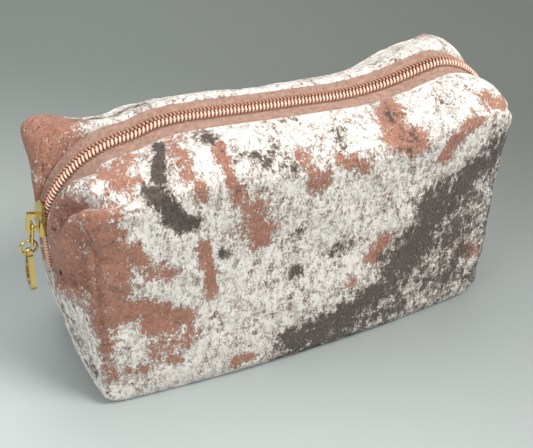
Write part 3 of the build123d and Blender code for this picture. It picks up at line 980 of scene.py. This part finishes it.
def coil_piece(name, side):
    """One side of the zip's spiral: a flattened helix of nylon wire."""
    turns = int(TRACK_LENGTH / COIL_PITCH) - 1
    t = np.linspace(0.0, turns, turns * TURN_STEPS + 1)
    length = COIL_START + stagger(side) + t * COIL_PITCH
    angle = 2.0 * math.pi * t
    flat = COIL_REACH * np.cos(angle)
    rise = COIL_RISE * np.sin(angle)
    across = COIL_MIDDLE + flat * math.cos(COIL_TILT) + rise * math.sin(COIL_TILT)
    lift = COIL_LIFT - flat * math.sin(COIL_TILT) + rise * math.cos(COIL_TILT)
    line = on_track(length, across, lift)
    core = on_track(length, np.full(len(t), COIL_MIDDLE), np.full(len(t), COIL_LIFT))
    hint = line - core
    points, faces = tube(line, hint, COIL_WIRE, 6)
    if side > 0:
        faces = faces[:, ::-1]
    # The back spiral takes the darker copy of the coil colour: painted shade.
    return make_mesh(name, facing(points, side), faces, COIL if side < 0 else COIL_SHADED)


def cord_piece(name, side):
    """The cord through one side of the spiral."""
    length = np.linspace(CORD_END_GAP, TRACK_LENGTH - CORD_END_GAP, 240)
    line = on_track(length, np.full(len(length), COIL_MIDDLE), np.full(len(length), COIL_LIFT))
    hint = np.tile(np.array([0.0, 1.0, 0.0]), (len(length), 1))
    points, faces = tube(line, hint, CORD_R, 8)
    return make_mesh(name, facing(points, side), faces, CORD)


BEAD = 0.34
BEAD_ACROSS = 3.25
BEAD_LIFT = -0.85
BEAD_START = 0.9
BEAD_RINGS = 5
BEAD_SIDES = 8


def bead_piece(name, side):
    """The stitches that hold one side of the spiral to its tape, one bead of thread for each turn; the
    front beads are dark, painted shade in the gaps between the turns.
    """
    count = int(TRACK_LENGTH / COIL_PITCH) - 1
    length = BEAD_START + stagger(side) + COIL_PITCH * np.arange(count)
    centres = on_track(length, np.full(count, BEAD_ACROSS), np.full(count, BEAD_LIFT))
    rings, sides = BEAD_RINGS, BEAD_SIDES
    rise = np.linspace(0.0, math.pi, rings + 2)[1:-1]
    turn = np.arange(sides) * 2.0 * math.pi / sides
    ball = np.stack(np.broadcast_arrays(
        np.sin(rise)[:, None] * np.cos(turn), np.sin(rise)[:, None] * np.sin(turn), np.cos(rise)[:, None]
    ), axis=-1).reshape(-1, 3)
    points = (centres[:, None] + BEAD * ball).reshape(-1, 3)
    one = ring_faces(rings, sides)[:, [0, 3, 2, 1]]
    faces = (one + np.arange(count)[:, None, None] * len(ball)).reshape(-1, 4)
    if side > 0:
        faces = faces[:, ::-1]
    # The front beads take the dark copy of the stitch colour: painted shade.
    return make_mesh(name, facing(points, side), faces, STITCH if side > 0 else STITCH_SHADED)


# ---------------------------------------------------------------- the seams' thread

THREAD_DEPTH = 3.55
THREAD_R = 0.1
LAST_ROW = INNER_ROWS + OUTER_ROWS
FOOT_GAP = 4
EAR_GAP = 6


def thread_piece(name, side, rows, columns):
    """A sewing thread under the velvet, along part of a row or a column of the cloth."""
    layers, _ = half_layers((THREAD_DEPTH,), side)
    line = layers[0][(np.asarray(rows) * LOOP_STEPS + np.asarray(columns)).ravel()]
    hint = np.tile(np.array([0.3, 1.0, 0.2]), (len(line), 1))
    points, faces = tube(line, hint, THREAD_R, 6)
    if side > 0:
        faces = faces[:, ::-1]
    thing = make_mesh(name, facing(points, side), faces, THREAD)
    return thing


def build_threads(word, side):
    """The seams beside the zip, along the upright corners and across the ends."""
    lip = word + "_lip"
    over_top = np.arange(LOW_STEPS + 1, RIGHT_SEAM)
    beside = thread_piece("thread_zip_" + word, side, INNER_ROWS + 1, over_top)
    bend_with_lip(beside)
    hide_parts("zip_thread_" + word, "zip_thread_" + lip)
    climb = np.arange(FOOT_GAP, LEFT_EAR - EAR_GAP)
    left = thread_piece("thread_corner_left_" + word, side, LAST_ROW, climb)
    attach(left, "root")
    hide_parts("corner_thread_left_" + word)
    fall = np.arange(RIGHT_EAR + EAR_GAP, RIGHT_EAR + SIDE_STEPS - FOOT_GAP)
    right = thread_piece("thread_corner_right_" + word, side, LAST_ROW, fall)
    bend_with_lip(right)
    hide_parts("corner_thread_right_" + word, f"corner_thread_right_{lip}")
    end = thread_piece("thread_end_left_" + word, side, np.arange(LAST_ROW + 1), LOW_STEPS)
    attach(end, "root")
    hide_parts("end_seam_thread_left")
    end = thread_piece("thread_end_right_" + word, side, np.arange(LAST_ROW + 1), RIGHT_SEAM)
    bend_with_lip(end)
    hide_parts("end_seam_thread_right")


# ---------------------------------------------------------------- the pieces


def bend_with_lip(thing):
    """Bakes the piece's placement into its points."""
    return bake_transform(thing)


def build_side(word, side):
    """The cloth and the zip on one side of the bag."""
    velvet = cloth_piece("velvet_wrap_" + word, (0.0, VELVET_THICK), side, VELVET, patch_fields)
    padding = cloth_piece("padding_" + word, PADDING_DEPTH, side, PADDING)
    lining = cloth_piece("lining_" + word, LINING_DEPTH, side, LINING)
    tape = tape_piece("tape_" + word, side)
    coil = coil_piece("coil_" + word, side)
    cord = cord_piece("cord_" + word, side)
    beads = bead_piece("coil_stitches_" + word, side)
    names = ("velvet", "padding", "lining", "zip_tape", "zip_coil", "core_cord", "thread")
    for thing, slot in zip((velvet, padding, lining, tape, coil, cord, beads), names):
        bend_with_lip(thing)
    lip = word + "_lip"
    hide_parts("velvet", "velvet_" + lip)
    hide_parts("padding", "padding_" + lip)
    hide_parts("lining", "lining_" + lip)
    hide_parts("zip_tape_" + word, "zip_tape_" + lip)
    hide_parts("zip_coil_" + word, "zip_coil_" + lip)
    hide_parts("coil_cord_" + word, "coil_cord_" + lip)


for word, side in (("front", -1), ("back", 1)):
    build_side(word, side)
    build_threads(word, side)

for node, thing in frame["nodes"].items():
    if thing.hide_render:
        continue
    shown = STEEL if "spring" in node else GOLD
    thing.data.materials.clear()
    thing.data.materials.append(shown)


# ---------------------------------------------------------------- floor, light and camera

FLOOR_HALF = 1500.0
# The floor's two colours are painted light and shade: lit pale near the camera, shaded dark towards the
# back.
FLOOR_NEAR_LIT = (0.38, 0.41, 0.40)
FLOOR_FAR_SHADED = (0.125, 0.138, 0.124)


def floor_material():
    """A smooth table whose colour carries painted light and shade: pale near the camera, dark grey-green
    towards the back, darker towards the front right.
    """
    material, tree, shader = new_material("floor")
    place = add_node(tree, "ShaderNodeTexCoord", output=3)
    parts = tree.nodes.new("ShaderNodeSeparateXYZ")
    tree.links.new(place, parts.inputs[0])
    x, y = parts.outputs[0], parts.outputs[1]
    away = summed(tree, [(x, 0.57), (y, 0.84)], 0.0)
    across = summed(tree, [(x, 0.90), (y, -0.43)], 0.0)
    colour = blend_colours(tree, step(tree, away, -0.14, 0.19), FLOOR_NEAR_LIT, FLOOR_FAR_SHADED)
    # Painted shade across the floor: darker towards the front right, lighter towards the back left.
    darker = tree.nodes.new("ShaderNodeVectorMath")
    darker.operation = "SCALE"
    connect(tree, darker.inputs[0], colour)
    connect(tree, darker.inputs["Scale"], step(tree, across, -0.2, 0.2, 1.2, 0.8))
    connect(tree, shader.inputs["Base Color"], darker.outputs[0])
    shader.inputs["Roughness"].default_value = 0.6
    return material


def make_floor():
    """The table the bag stands on."""
    size = FLOOR_HALF
    corners = np.array([(-size, -size, 0), (size, -size, 0), (size, size, 0), (-size, size, 0)], float)
    floor = make_mesh("floor", corners, np.array([(0, 1, 2, 3)]), floor_material())


def put(thing, right, up, back, place):
    """Turns an object to these axes and moves it to a place in metres."""
    turned = Matrix(np.stack([right, up, back], axis=1).tolist()).to_4x4()
    turned.translation = place
    thing.matrix_world = turned


def area_light(name, place, target, size, power, colour):
    """A broad soft lamp."""
    data = bpy.data.lights.new(name, "AREA")
    data.shape = "DISK"
    data.size = size
    data.energy = power
    data.color = colour
    back = np.array(place, float) - np.array(target, float)
    back /= np.linalg.norm(back)
    side = np.cross([0.0, 0.0, 1.0], back)
    side /= np.linalg.norm(side)
    put(add_object(name, data), side, np.cross(back, side), back, place)


def make_world(high, low, strength):
    """A soft light from above that darkens towards the horizon, as in a small studio."""
    world = bpy.data.worlds.new("world")
    bpy.context.scene.world = world
    world.use_nodes = True
    tree = world.node_tree
    place = add_node(tree, "ShaderNodeTexCoord", output=0)
    parts = tree.nodes.new("ShaderNodeSeparateXYZ")
    tree.links.new(place, parts.inputs[0])
    colour = blend_colours(tree, step(tree, parts.outputs[2], -0.05, 0.6), low, high)
    connect(tree, tree.nodes["Background"].inputs[0], colour)
    tree.nodes["Background"].inputs[1].default_value = strength


# The camera as fitted to the photograph: radians, then millimetres.
CAMERA_TURN = -0.446942
CAMERA_RISE = 0.717553
CAMERA_ROLL = 0.042142
CAMERA_DISTANCE = 456.36
CAMERA_SHIFT = (2.069, -32.479)
CAMERA_LENS = 68.03


def make_camera():
    """The camera, turned about the bag, raised and slightly rolled."""
    turn, rise = CAMERA_TURN, CAMERA_RISE
    back = np.array([math.sin(turn) * math.cos(rise), -math.cos(turn) * math.cos(rise), math.sin(rise)])
    level = np.cross(-back, [0.0, 0.0, 1.0])
    level /= np.linalg.norm(level)
    upright = np.cross(level, -back)
    right = math.cos(CAMERA_ROLL) * level + math.sin(CAMERA_ROLL) * upright
    up = -math.sin(CAMERA_ROLL) * level + math.cos(CAMERA_ROLL) * upright
    place = CAMERA_DISTANCE * back - CAMERA_SHIFT[0] * right - CAMERA_SHIFT[1] * up
    data = bpy.data.cameras.new("camera")
    data.sensor_width = 36.0
    data.lens = CAMERA_LENS
    data.clip_start = 0.01
    data.dof.use_dof = False
    camera = add_object("camera", data)
    put(camera, right, up, back, place * MM)
    bpy.context.scene.camera = camera


make_floor()
make_world((0.93, 0.97, 1.0), (0.10, 0.11, 0.11), 0.7)
area_light("key", (0.35, -0.42, 0.85), (0.0, 0.0, 0.05), 0.38, 9.5, (1.0, 0.98, 0.95))
area_light("fill", (-0.7, -0.35, 0.5), (0.0, 0.0, 0.05), 0.5, 2.5, (0.97, 0.98, 1.0))
area_light("top", (0.1, 0.25, 0.9), (0.0, 0.0, 0.05), 0.6, 3.0, (1.0, 0.98, 0.95))
make_camera()
bpy.context.scene.view_settings.view_transform = "Standard"
